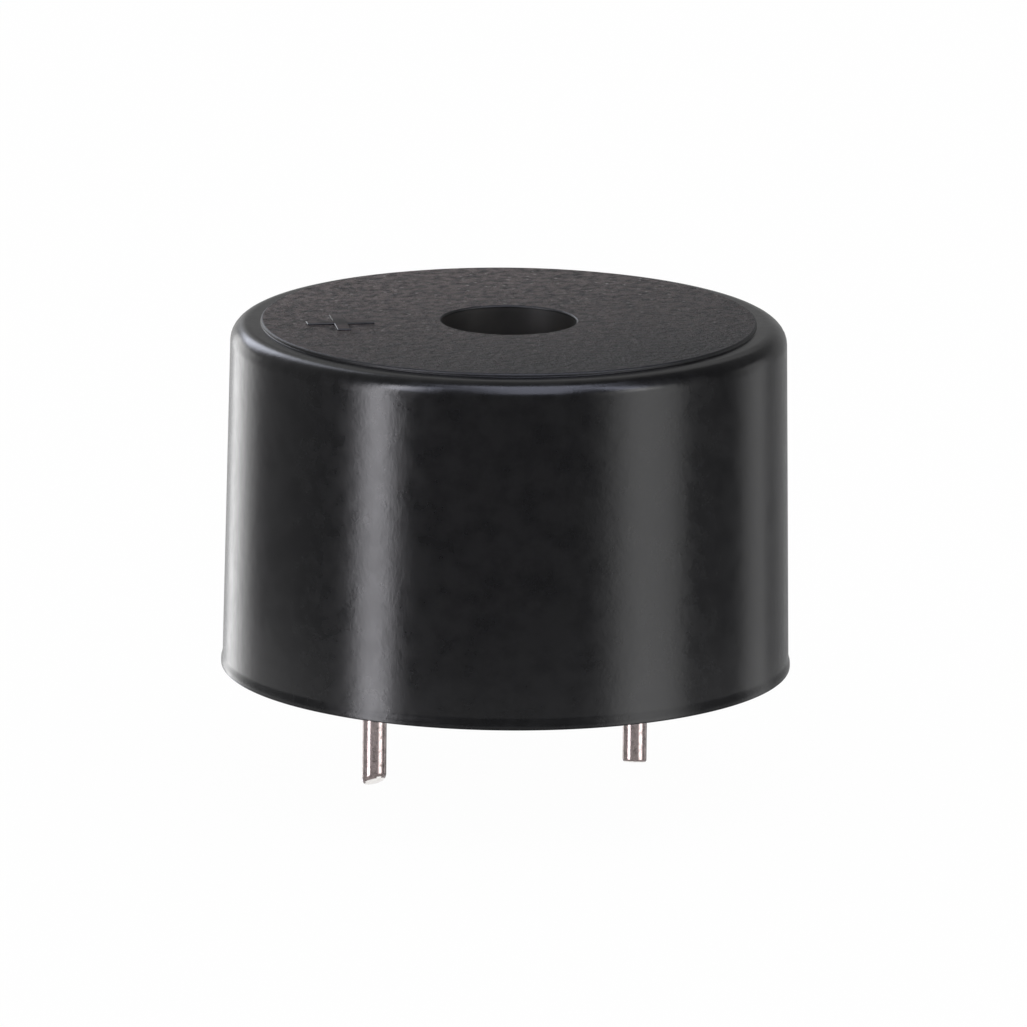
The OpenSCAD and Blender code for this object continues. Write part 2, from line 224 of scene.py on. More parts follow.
def rounded(corners: list[Corner], steps: int = 8) -> Outline:
    """Rounds each corner of a closed outline with an arc.

    Args:
        corners: The radius from the axis, the height and the rounding of each.
        steps: Straight steps in a right-angled corner.

    Returns:
        The points of the outline.
    """
    points: Outline = []
    count = len(corners)
    for i, (x, z, radius) in enumerate(corners):
        here = Vector((x, z))
        before = Vector(corners[i - 1][:2]) - here
        after = Vector(corners[(i + 1) % count][:2]) - here
        turn = math.pi - before.angle(after)
        if radius == 0 or turn < math.radians(1):
            points.append((x, z))
            continue
        reach = radius * math.tan(turn / 2)
        start = here + before.normalized() * reach
        end = here + after.normalized() * reach
        middle = here + (before.normalized() + after.normalized()).normalized() * (
            radius / math.cos(turn / 2)
        )
        number = max(2, round(steps * turn / (math.pi / 2)))
        spread = (start - middle).angle_signed(end - middle)
        for k in range(number + 1):
            at = (start - middle).copy()
            at.rotate(Matrix.Rotation(-spread * k / number, 2))
            points.append(tuple(middle + at))
    return points


def with_supports(outline: Outline, closed: bool = True) -> Outline:
    """Adds a point near both ends of each long straight stretch.

    The rings they make keep the shading of a rounded edge from spreading over
    the flat beside it.

    Args:
        outline: The points of an outline.
        closed: Whether its last point leads back to its first.

    Returns:
        The points with the new ones among them.
    """
    margin = 0.02 * MM
    shortest = 8 * margin
    full: Outline = []
    for i, point in enumerate(outline):
        full.append(point)
        if i + 1 == len(outline) and not closed:
            break
        here, there = Vector(point), Vector(outline[(i + 1) % len(outline)])
        way = there - here
        if way.length > shortest:
            full.append(tuple(here + way.normalized() * margin))
            full.append(tuple(there - way.normalized() * margin))
    return full


def turned(
    name: str,
    outline: Outline,
    steps: int,
    centre: tuple[float, float] = (0, 0),
    closed: bool = True,
) -> Object:
    """Draws an outline point by point and spins it round an upright axis.

    Args:
        name: The object's name.
        outline: Distance from the axis and height of each point.
        steps: Facets round the axis.
        centre: Where the axis stands in plan.
        closed: Whether the last point leads back to the first.

    Returns:
        The new object, its faces pointing outwards.
    """
    x, y = centre
    first = (x + outline[0][0], y, outline[0][1])
    piece = new_primitive(name, bpy.ops.mesh.primitive_plane_add, size=MM, location=first)
    path = outline + outline[:1] if closed else outline
    with editing(piece, whole=True):
        bpy.ops.mesh.merge(type="CENTER")
        for (r0, z0), (r1, z1) in zip(path, path[1:]):
            step = (r1 - r0, 0, z1 - z0)
            bpy.ops.mesh.extrude_region_move(TRANSFORM_OT_translate={"value": step})
        bpy.ops.mesh.select_all(action="SELECT")
        bpy.ops.mesh.spin(steps=steps, angle=2 * math.pi, center=(x, y, 0), axis=(0, 0, 1))
        bpy.ops.mesh.select_all(action="SELECT")
        bpy.ops.mesh.remove_doubles(threshold=0.001 * MM)
        bpy.ops.mesh.normals_make_consistent(inside=False)
    return piece


# ------------------------------------------------------------ material tools


def give(tree: Tree, socket: Socket, value: object) -> None:
    """Links an output to an input, or sets the input's plain value.

    Args:
        tree: The node tree.
        socket: The input.
        value: An output, or what the input is set to.
    """
    if isinstance(value, Socket):
        tree.links.new(value, socket)
    else:
        socket.default_value = value


def put(tree: Tree, kind: str, **values: object) -> Node:
    """Adds a node and sets its properties and its inputs.

    Args:
        tree: The node tree.
        kind: The node's type without the ShaderNode in front.
        values: Properties by name, and inputs by name with _ for each space.
            A value that is an output is linked.

    Returns:
        The new node.
    """
    node = tree.nodes.new("ShaderNode" + kind)
    for key, value in values.items():
        socket = node.inputs.get(key.replace("_", " "))
        if socket is None:
            setattr(node, key, value)
        else:
            give(tree, socket, value)
    return node


def calculated(
    tree: Tree, operation: str, *values: Amount | Triple, vectors: bool = False
) -> Socket:
    """Works out a number from others, or from vectors.

    Args:
        tree: The node tree.
        operation: What is done with them.
        values: Numbers, vectors or outputs, in order.
        vectors: Whether they are vectors.

    Returns:
        The output with the result.
    """
    node = put(tree, "VectorMath" if vectors else "Math", operation=operation)
    for socket, value in zip(node.inputs, values):
        give(tree, socket, value)
    return node.outputs["Value"]


def ranged(
    tree: Tree,
    value: Socket,
    low: float = 0.0,
    high: float = 1.0,
    start: Amount = 0.0,
    stop: Amount = 1.0,
    gentle: bool = False,
) -> Socket:
    """Spreads a value over another range and holds it at that range's ends.

    Args:
        tree: The node tree.
        value: The output to spread.
        low: What the value becomes at start.
        high: What the value becomes at stop.
        start: One end of the value's own range.
        stop: Its other end.
        gentle: Whether the change begins and ends slowly.

    Returns:
        The output with the new value.
    """
    node = put(tree, "MapRange", interpolation_type="SMOOTHSTEP" if gentle else "LINEAR")
    for key, number in (
        ("Value", value),
        ("From Min", start),
        ("From Max", stop),
        ("To Min", low),
        ("To Max", high),
    ):
        give(tree, node.inputs[key], number)
    return node.outputs["Result"]


def mixed(tree: Tree, factor: Socket, low: Socket | Colour, high: Colour) -> Socket:
    """Mixes two colours by a factor.

    Args:
        tree: The node tree.
        factor: The output that says how much of the second colour shows.
        low: The colour at 0.
        high: The colour at 1.

    Returns:
        The output with the mixed colour.
    """
    node = put(tree, "Mix", data_type="RGBA")
    # The node has A, B and Result once for each data type, so the ones for
    # colour are taken by their order.
    share, first, second = node.inputs[0], node.inputs[6], node.inputs[7]
    give(tree, share, factor)
    give(tree, first, (*low, 1) if isinstance(low, tuple) else low)
    give(tree, second, (*high, 1))
    return node.outputs[2]


def either(tree: Tree, factor: Socket, low: Node, high: Node) -> Node:
    """Mixes two shaders by a factor.

    Args:
        tree: The node tree.
        factor: The output that says how much of the second shader shows.
        low: The shader at 0.
        high: The shader at 1.

    Returns:
        The node with both.
    """
    node = put(tree, "MixShader")
    for socket, value in zip(node.inputs, (factor, low.outputs[0], high.outputs[0])):
        give(tree, socket, value)
    return node


def new_group(name: str, inputs: dict[str, float | None], outputs: list[str]) -> Tree:
    """Starts a shader node group.

    Args:
        name: The group's name.
        inputs: Names and default values; None stands for a vector.
        outputs: Names of the values that it puts out.

    Returns:
        The group, with its two end nodes in place.
    """
    group = bpy.data.node_groups.new(name, "ShaderNodeTree")
    for key, default in inputs.items():
        kind = "NodeSocketVector" if default is None else "NodeSocketFloat"
        socket = group.interface.new_socket(name=key, in_out="INPUT", socket_type=kind)
        if default is not None:
            socket.default_value = default
    for key in outputs:
        group.interface.new_socket(name=key, in_out="OUTPUT", socket_type="NodeSocketFloat")
    group.nodes.new("NodeGroupInput").name = "in"
    group.nodes.new("NodeGroupOutput").name = "out"
    return group


def scaled_place(group: Tree, stretch: Triple = (1, 1, 1)) -> Socket:
    """Divides a group's Place by its Pitch, so that a pattern repeats at it.

    Args:
        group: The group being built.
        stretch: How many times longer the pattern is along each axis.

    Returns:
        The output with the scaled place.
    """
    ends = group.nodes["in"].outputs
    rate = calculated(group, "DIVIDE", 1, ends["Pitch"])
    scale = put(group, "VectorMath", operation="SCALE", Vector=ends["Place"], Scale=rate)
    squeeze = put(group, "VectorMath", operation="DIVIDE", Vector=scale.outputs[0])
    squeeze.inputs[1].default_value = stretch
    return squeeze.outputs[0]


def noise_at(group: Tree, place: Socket, detail: float, rough: float, rate: float = 1.0) -> Socket:
    """Adds noise to a group at a scaled place, rate times finer than its pitch."""
    noise = put(group, "TexNoise", Vector=place, Scale=rate, Detail=detail, Roughness=rough)
    return noise.outputs["Fac"]


def hand_out(group: Tree, **values: Socket) -> Tree:
    """Finishes a group by linking the values that it puts out, by their names."""
    for key, value in values.items():
        group.links.new(value, group.nodes["out"].inputs[key])
    return group


def ripple_group() -> Tree:
    """Makes the slow, shallow unevenness of a moulded or cast skin, as a Height."""
    group = new_group(Effect.RIPPLE.value, {"Place": None, "Pitch": MM}, ["Height"])
    return hand_out(group, Height=noise_at(group, scaled_place(group), detail=3.0, rough=0.55))


def grain_group() -> Tree:
    """Makes the pitted grain that a spark-eroded mould leaves on plastic.

    Returns:
        A group from Place and Pitch to Height and Pits.
    """
    group = new_group(Effect.GRAIN.value, {"Place": None, "Pitch": 0.1 * MM}, ["Height", "Pits"])
    place = scaled_place(group)
    cells = put(group, "TexVoronoi", feature="SMOOTH_F1", Vector=place, Scale=1.0)
    craters = cells.outputs["Distance"]
    crater_share = 0.7
    rim, floor = 0.45, 0.1
    fine = noise_at(group, place, detail=4.0, rough=0.62, rate=2.1)
    height = calculated(group, "MULTIPLY_ADD", craters, crater_share, fine)
    return hand_out(group, Height=height, Pits=ranged(group, craters, start=rim, stop=floor))


def drawn_group() -> Tree:
    """Makes the long fine lines of drawn wire and rolled sheet along Z, as a Height."""
    group = new_group(Effect.DRAWN.value, {"Place": None, "Pitch": 0.03 * MM}, ["Height"])
    long = scaled_place(group, (1, 1, 40))
    return hand_out(group, Height=noise_at(group, long, detail=2.0, rough=0.5))


def blotch_group() -> Tree:
    """Makes patches with soft edges, for wear, tarnish and films.

    Returns:
        A group from Place, Pitch and Cover to Mask, where a higher Cover
        leaves less of the surface bare.
    """
    group = new_group(Effect.BLOTCH.value, {"Place": None, "Pitch": MM, "Cover": 0.4}, ["Mask"])
    noise = noise_at(group, scaled_place(group), detail=5.0, rough=0.6)
    highest, soft_edge = 0.8, 0.25
    low = calculated(group, "SUBTRACT", highest, group.nodes["in"].outputs["Cover"])
    high = calculated(group, "ADD", low, soft_edge)
    return hand_out(group, Mask=ranged(group, noise, start=low, stop=high))


def speck_group() -> Tree:
    """Makes scattered small specks, such as dust, pits and bubbles.

    Returns:
        A group from Place, Pitch and Size to Mask, where Size is a speck's
        radius as a share of the pitch.
    """
    group = new_group(Effect.SPECK.value, {"Place": None, "Pitch": MM, "Size": 0.1}, ["Mask"])
    cells = put(group, "TexVoronoi", Vector=scaled_place(group), Scale=1.0, Randomness=1.0)
    size = group.nodes["in"].outputs["Size"]
    near = ranged(group, cells.outputs["Distance"], start=size, stop=0.0)
    luck = put(group, "SeparateColor", Color=cells.outputs["Color"]).outputs["Red"]
    empty_share = 0.6
    chosen = calculated(group, "GREATER_THAN", luck, empty_share)
    return hand_out(group, Mask=calculated(group, "MULTIPLY", near, chosen))


class Effect(Enum):
    """The effects that several finishes share, each one node group."""

    RIPPLE = "slow_ripple"
    GRAIN = "spark_grain"
    DRAWN = "drawn_lines"
    BLOTCH = "blotches"
    SPECK = "specks"

    @property
    def group(self) -> Tree:
        """Finds this effect's group, and builds it when it is first asked for.

        Returns:
            The node group.
        """
        makers = {
            Effect.RIPPLE: ripple_group,
            Effect.GRAIN: grain_group,
            Effect.DRAWN: drawn_group,
            Effect.BLOTCH: blotch_group,
            Effect.SPECK: speck_group,
        }
        return bpy.data.node_groups.get(self.value) or makers[self]()


class Canvas:
    """One material being built: its tree, its shader and the place it reads."""

    def __init__(self, name: str) -> None:
        """Makes an empty material with a Principled shader.

        Args:
            name: The material's name.
        """
        self.material = bpy.data.materials.new(name)
        self.material.use_nodes = True
        self.tree = self.material.node_tree
        self.tree.nodes.clear()
        self.shader = put(self.tree, "BsdfPrincipled")
        self.output = put(self.tree, "OutputMaterial", Surface=self.shader.outputs[0])
        self.place = put(self.tree, "TexCoord").outputs["Object"]

    def set(self, **values: object) -> None:
        """Sets or links the shader's inputs, by name with _ for each space."""
        for key, value in values.items():
            give(self.tree, self.shader.inputs[key.replace("_", " ")], value)

    def show(self, shader: Node) -> None:
        """Lets another shader show instead of the Principled one."""
        self.tree.links.new(shader.outputs[0], self.output.inputs["Surface"])

    def effect(self, effect: Effect, output: str = "Height", **values: object) -> Socket:
        """Places a shared effect at this material's own place, for one of its outputs."""
        node = put(self.tree, "Group", node_tree=effect.group, Place=self.place, **values)
        return node.outputs[output]

    def bump(self, height: Socket, depth: float, under: Socket | None = None) -> Socket:
        """Turns a height into a normal.

        Args:
            height: The output with the height.
            depth: The height's full range, in metres.
            under: The normal of a coarser bump below this one.

        Returns:
            The output with the normal.
        """
        node = put(self.tree, "Bump", Strength=1.0, Distance=depth, Height=height)
        if under is not None:
            self.tree.links.new(under, node.inputs["Normal"])
        return node.outputs[0]


# ------------------------------------------------------------------ finishes


@dataclass(frozen=True)
class Plastic:
    """Moulded plastic with a grain, slow ripples and a little dust, whose light specks also serve
    as painted glints.
    """

    name: str
    colour: Colour = (0.0025, 0.0025, 0.0032)
    worn: Colour = (0.0045, 0.0045, 0.005)
    roughness: float = 0.21
    spread: float = 0.03
    specular: float = 0.115
    grain_pitch: float = 0.06 * MM
    grain_depth: float = 0.0006 * MM
    ripple_pitch: float = 0.5 * MM
    ripple_depth: float = 0.002 * MM
    patch_pitch: float = 1.3 * MM
    cover: float = 0.45
    # Light specks of dust, which on the disc also stand for painted glints of the grain.
    dust: float = 0.0
    dust_and_glint_pitch: float = 0.27 * MM
    dust_and_glint_colour: Colour = (0.42, 0.4, 0.39)
    # How much wear and dust is left at the front, the way towards the lit back, and the reach of
    # the change: a painted fall-off of light.
    shaded_front_share: float = 1.0
    lit_way: Triple = (-0.35, 0.94, 0.0)
    falloff_reach: float = 6 * MM

    def material(self) -> Material:
        """Builds the material.

        Returns:
            The material of this finish.
        """
        canvas = Canvas(self.name)
        patches = canvas.effect(Effect.BLOTCH, "Mask", Pitch=self.patch_pitch, Cover=self.cover)
        # Wear thins out towards the front: painted shade there, painted light at the back.
        patches = self.painted_light_falloff(canvas, patches)
        colour = mixed(canvas.tree, patches, self.colour, self.worn)
        # Dust specks that also paint glints, thinned towards the front like the wear.
        if self.dust > 0:
            specks = canvas.effect(Effect.SPECK, "Mask", Pitch=self.dust_and_glint_pitch, Size=self.dust)
            colour = mixed(canvas.tree, self.painted_light_falloff(canvas, specks), colour, self.dust_and_glint_colour)
        smoothest = self.roughness - self.spread / 2
        rough = ranged(canvas.tree, patches, smoothest, smoothest + self.spread)
        ripples = canvas.effect(Effect.RIPPLE, Pitch=self.ripple_pitch)
        grain = canvas.effect(Effect.GRAIN, Pitch=self.grain_pitch)
        normal = canvas.bump(grain, self.grain_depth, canvas.bump(ripples, self.ripple_depth))
        canvas.set(Base_Color=colour, Roughness=rough, Normal=normal)
        canvas.set(Specular_IOR_Level=self.specular, IOR=1.5)
        return canvas.material

    def painted_light_falloff(self, canvas: Canvas, mask: Socket) -> Socket:
        """Paints a fall-off of light: wear and dust thin out towards the front, leaving it darker.

        Args:
            canvas: The material being built.
            mask: The output with the mask to thin out, of the wear and of the dust specks that also
                paint glints.

        Returns:
            The output with the mask, thinned towards the front as painted shade.
        """
        if self.shaded_front_share == 1:
            return mask
        tree, reach = canvas.tree, self.falloff_reach
        along = calculated(tree, "DOT_PRODUCT", canvas.place, self.lit_way, vectors=True)
        share = ranged(tree, along, low=self.shaded_front_share, start=-reach, stop=reach)
        return calculated(tree, "MULTIPLY", share, mask)


@dataclass(frozen=True)
class Metal:
    """Bare metal with drawn or rolled lines and patches of tarnish."""

    name: str
    colour: Colour
    tarnish: Colour
    roughness: float = 0.25
    dull: float = 0.4
    cover: float = 0.35
    patch_pitch: float = 0.6 * MM
    edge_tint: float = 1.0
    line_pitch: float = 0.03 * MM
    line_depth: float = 0.0003 * MM
    grain_pitch: float = 0.08 * MM
    grain_depth: float = 0.0003 * MM

    def material(self) -> Material:
        """Builds the material.

        Returns:
            The material of this finish.
        """
        canvas = Canvas(self.name)
        patches = canvas.effect(Effect.BLOTCH, "Mask", Pitch=self.patch_pitch, Cover=self.cover)
        lines = canvas.effect(Effect.DRAWN, Pitch=self.line_pitch)
        grain = canvas.effect(Effect.GRAIN, Pitch=self.grain_pitch)
        normal = canvas.bump(grain, self.grain_depth, canvas.bump(lines, self.line_depth))
        canvas.set(
            Base_Color=mixed(canvas.tree, patches, self.colour, self.tarnish),
            Roughness=ranged(canvas.tree, patches, self.roughness, self.dull),
            Normal=normal,
        )
        canvas.set(Metallic=1.0, Specular_Tint=(self.edge_tint,) * 3 + (1,))
        return canvas.material


@dataclass(frozen=True)
class Mineral:
    """A matt or satin body of one colour with a fine speckle."""

    name: str
    colour: Colour
    speckle: Colour
    roughness: float = 0.55
    specular: float = 0.4
    grain_pitch: float = 0.05 * MM
    grain_depth: float = 0.0012 * MM
    smoother: float = 0.06
    rougher: float = 0.08
    subsurface: float = 0.0
    subsurface_reach: float = 0.3 * MM

    def material(self) -> Material:
        """Builds the material.

        Returns:
            The material of this finish.
        """
        canvas = Canvas(self.name)
        smoothest, roughest = self.roughness - self.smoother, self.roughness + self.rougher
        pits = canvas.effect(Effect.GRAIN, "Pits", Pitch=self.grain_pitch)
        grain = canvas.effect(Effect.GRAIN, Pitch=self.grain_pitch)
        patches = canvas.effect(Effect.BLOTCH, "Mask", Pitch=0.8 * MM, Cover=0.4)
        canvas.set(
            Base_Color=mixed(canvas.tree, pits, self.colour, self.speckle),
            Roughness=ranged(canvas.tree, patches, smoothest, roughest),
            Normal=canvas.bump(grain, self.grain_depth),
        )
        canvas.set(Specular_IOR_Level=self.specular, Subsurface_Weight=self.subsurface)
        canvas.set(Subsurface_Radius=(self.subsurface_reach,) * 3)
        return canvas.material


@dataclass(frozen=True)
class Laminate:
    """Resin board over woven glass, whose threads show through faintly."""

    name: str
    resin: Colour = (0.5, 0.36, 0.16)
    thread: Colour = (0.62, 0.5, 0.27)
    thread_pitch: float = 0.22 * MM
    depth: float = 0.002 * MM
    roughness: float = 0.32
    dull: float = 0.5

    def material(self) -> Material:
        """Builds the material.

        Returns:
            The material of this finish.
        """
        canvas = Canvas(self.name)
        rate = 2 * math.pi / self.thread_pitch
        waves = []
        split = put(canvas.tree, "SeparateXYZ", Vector=canvas.place).outputs
        for axis in ("X", "Y"):
            phase = calculated(canvas.tree, "MULTIPLY", split[axis], rate)
            waves.append(calculated(canvas.tree, "SINE", phase))
        weave = ranged(canvas.tree, calculated(canvas.tree, "MULTIPLY", *waves), start=-1.0)
        patches = canvas.effect(Effect.BLOTCH, "Mask", Pitch=0.9 * MM, Cover=0.4)
        canvas.set(
            Base_Color=mixed(canvas.tree, weave, self.resin, self.thread),
            Roughness=ranged(canvas.tree, patches, self.roughness, self.dull),
            Normal=canvas.bump(weave, self.depth),
        )
        return canvas.material


@dataclass(frozen=True)
class ChipCeramic:
    """White alumina whose upper face is coated with dark glass."""

    name: str
    alumina: Colour = (0.78, 0.77, 0.74)
    glass: Colour = (0.02, 0.02, 0.024)
    bare_roughness: float = 0.6
    glass_roughness: float = 0.22
    grain_depth: float = 0.0008 * MM
    upright: float = 0.5

    def material(self) -> Material:
        """Builds the material.

        Returns:
            The material of this finish.
        """
        canvas = Canvas(self.name)
        facing = put(canvas.tree, "NewGeometry").outputs["Normal"]
        upward = put(canvas.tree, "SeparateXYZ", Vector=facing).outputs["Z"]
        top = calculated(canvas.tree, "GREATER_THAN", upward, self.upright)
        grain = canvas.effect(Effect.GRAIN, Pitch=0.04 * MM)
        canvas.set(
            Base_Color=mixed(canvas.tree, top, self.alumina, self.glass),
            Roughness=ranged(canvas.tree, top, self.bare_roughness, self.glass_roughness),
            Normal=canvas.bump(grain, self.grain_depth),
        )
        return canvas.material


@dataclass(frozen=True)
class Resin:
    """Poured epoxy: glossy, gently wavy, with burst bubbles and a dust film."""

    name: str
    colour: Colour = (0.012, 0.012, 0.0135)
    film: Colour = (0.035, 0.034, 0.034)
    roughness: float = 0.2
    film_dulls: float = 0.25
    wave_depth: float = 0.03 * MM
    pore_depth: float = 0.03 * MM
    grain_depth: float = 0.0008 * MM

    def material(self) -> Material:
        """Builds the material.

        Returns:
            The material of this finish.
        """
        canvas = Canvas(self.name)
        film = canvas.effect(Effect.BLOTCH, "Mask", Pitch=2.2 * MM, Cover=0.45)
        waves = canvas.effect(Effect.RIPPLE, Pitch=1.8 * MM)
        pores = canvas.effect(Effect.SPECK, "Mask", Pitch=0.9 * MM, Size=0.09)
        fine = canvas.effect(Effect.GRAIN, Pitch=0.08 * MM)
        wavy = canvas.bump(waves, self.wave_depth)
        pitted = canvas.bump(pores, -self.pore_depth, wavy)
        canvas.set(
            Base_Color=mixed(canvas.tree, film, self.colour, self.film),
            Roughness=ranged(canvas.tree, film, self.roughness, self.roughness + self.film_dulls),
            Normal=canvas.bump(fine, self.grain_depth, pitted),
        )
        canvas.set(Specular_IOR_Level=0.5)
        return canvas.material


WALL = Plastic(
    "case_wall",
    worn=(0.006, 0.006, 0.0066),
    spread=0.05,
    patch_pitch=0.7 * MM,
    grain_pitch=0.09 * MM,
    grain_depth=0.0014 * MM,
    ripple_pitch=0.36 * MM,
    ripple_depth=0.0045 * MM,
)
DISC = Plastic(
    "case_grain",
    worn=(0.16, 0.134, 0.13),
    roughness=0.45,
    specular=0.065,
    spread=0.16,
    patch_pitch=0.3 * MM,
    grain_pitch=0.24 * MM,
    grain_depth=0.3 * MM,
    # Light specks: dust, and painted glints on the grain.
    dust=0.25,
    # Wear and dust thin out towards the front: a painted fall-off of the light from behind.
    shaded_front_share=0.1,
)
RIM = Plastic(
    "case_rim",
    roughness=0.42,
    specular=0.12,
    grain_pitch=0.12 * MM,
    grain_depth=0.008 * MM,
)
MARK = Plastic(
    "case_mark",
    worn=(0.05, 0.04, 0.04),
    roughness=0.42,
    specular=0.075,
    patch_pitch=0.4 * MM,
)
# A lighter copy of the case's black plastic for the bore and the port's wall: painted light that
# brightens the port.
LIT_INSIDE = Plastic(
    "case_inside_lit",
    colour=(0.018, 0.017, 0.017),
    worn=(0.024, 0.023, 0.023),
    roughness=0.4,
    specular=0.2,
)
# Tin painted dark, well below the tin of the caps inside: painted shade in what the pins mirror.
# Its patches are tarnish that also paints a mottled reflection.
SHADED_TIN = Metal(
    "tinned_pin_shaded",
    colour=(0.24, 0.2, 0.195),
    tarnish=(0.115, 0.097, 0.093),
    roughness=0.2,
    dull=0.32,
    patch_pitch=0.17 * MM,
    edge_tint=0.9,
)
FRESH_CUT = Metal("fresh_cut", (0.9, 0.88, 0.86), (0.8, 0.77, 0.75), 0.35, 0.45)
COMPOUND = Resin("cast_epoxy")

SLOT_FINISHES = {
    "plate_brass": Metal(
        "rolled_brass", (0.76, 0.56, 0.25), (0.5, 0.34, 0.14), 0.28, 0.42, line_pitch=0.02 * MM
    ),
    "ceramic": Mineral("fired_ceramic", (0.74, 0.69, 0.55), (0.62, 0.57, 0.44)),
    "silver_print": Metal(
        "fired_silver", (0.83, 0.83, 0.81), (0.72, 0.71, 0.67), 0.48, 0.6, grain_depth=0.002 * MM
    ),
    "silicone": Mineral(
        "silicone_bead",
        (0.8, 0.82, 0.83),
        (0.76, 0.78, 0.8),
        0.3,
        grain_depth=0.0004 * MM,
        subsurface=0.4,
    ),
    "board": Laminate("glass_board"),
    "copper": Metal("copper_foil", (0.86, 0.47, 0.3), (0.6, 0.27, 0.15), 0.3, 0.5),
    "transistor_epoxy": Mineral("moulded_epoxy", (0.02, 0.02, 0.022), (0.035, 0.035, 0.037), 0.5),
    "chip_ceramic": ChipCeramic("chip_body"),
    "tin": Metal("matt_tin", (0.72, 0.71, 0.7), (0.55, 0.54, 0.53), 0.32, 0.5),
    "solder": Metal("solder", (0.7, 0.7, 0.71), (0.5, 0.5, 0.5), 0.18, 0.45, patch_pitch=0.25 * MM),
    "red_insulation": Mineral("red_sleeve", (0.46, 0.03, 0.02), (0.4, 0.025, 0.02), 0.38),
    "blue_insulation": Mineral("blue_sleeve", (0.03, 0.1, 0.42), (0.025, 0.085, 0.36), 0.38),
    "black_insulation": Mineral("black_sleeve", (0.02, 0.02, 0.021), (0.03, 0.03, 0.03), 0.38),
}


# -------------------------------------------------------------- sub-assemblies


@dataclass
class PolarityMark:
    """The raised cross on the disc, beside the positive pin."""

    length: float = 1.95 * MM
    stroke: float = 0.4 * MM
    height: float = 0.05 * MM
    sunk: float = 0.03 * MM
    edge: float = 0.035 * MM
    out: float = 4.9 * MM

    def build(self, top: float) -> Object:
        """Makes the cross as one closed mesh with rounded upper edges.

        Args:
            top: The height of the disc that it stands on.

        Returns:
            The cross, to be joined to the case.
        """
        high = self.height + self.sunk
        middle = (-self.out, 0, top + self.height - high / 2)
        cube = bpy.ops.mesh.primitive_cube_add
        size = (self.length, self.stroke, high)
        cross = new_primitive("polarity_mark", cube, size=1, location=middle, scale=size)
        size = (self.stroke, self.length, high)
        unite(cross, new_primitive("stroke", cube, size=1, location=middle, scale=size))
        edge_height = top + self.height - self.edge / 2
        with editing(cross, Pick.EDGES):
            pick_edges(cross, lambda a, b: min(a.z, b.z) > edge_height)
            bpy.ops.mesh.bevel(offset=self.edge, segments=4, affect="EDGES")
        return cross


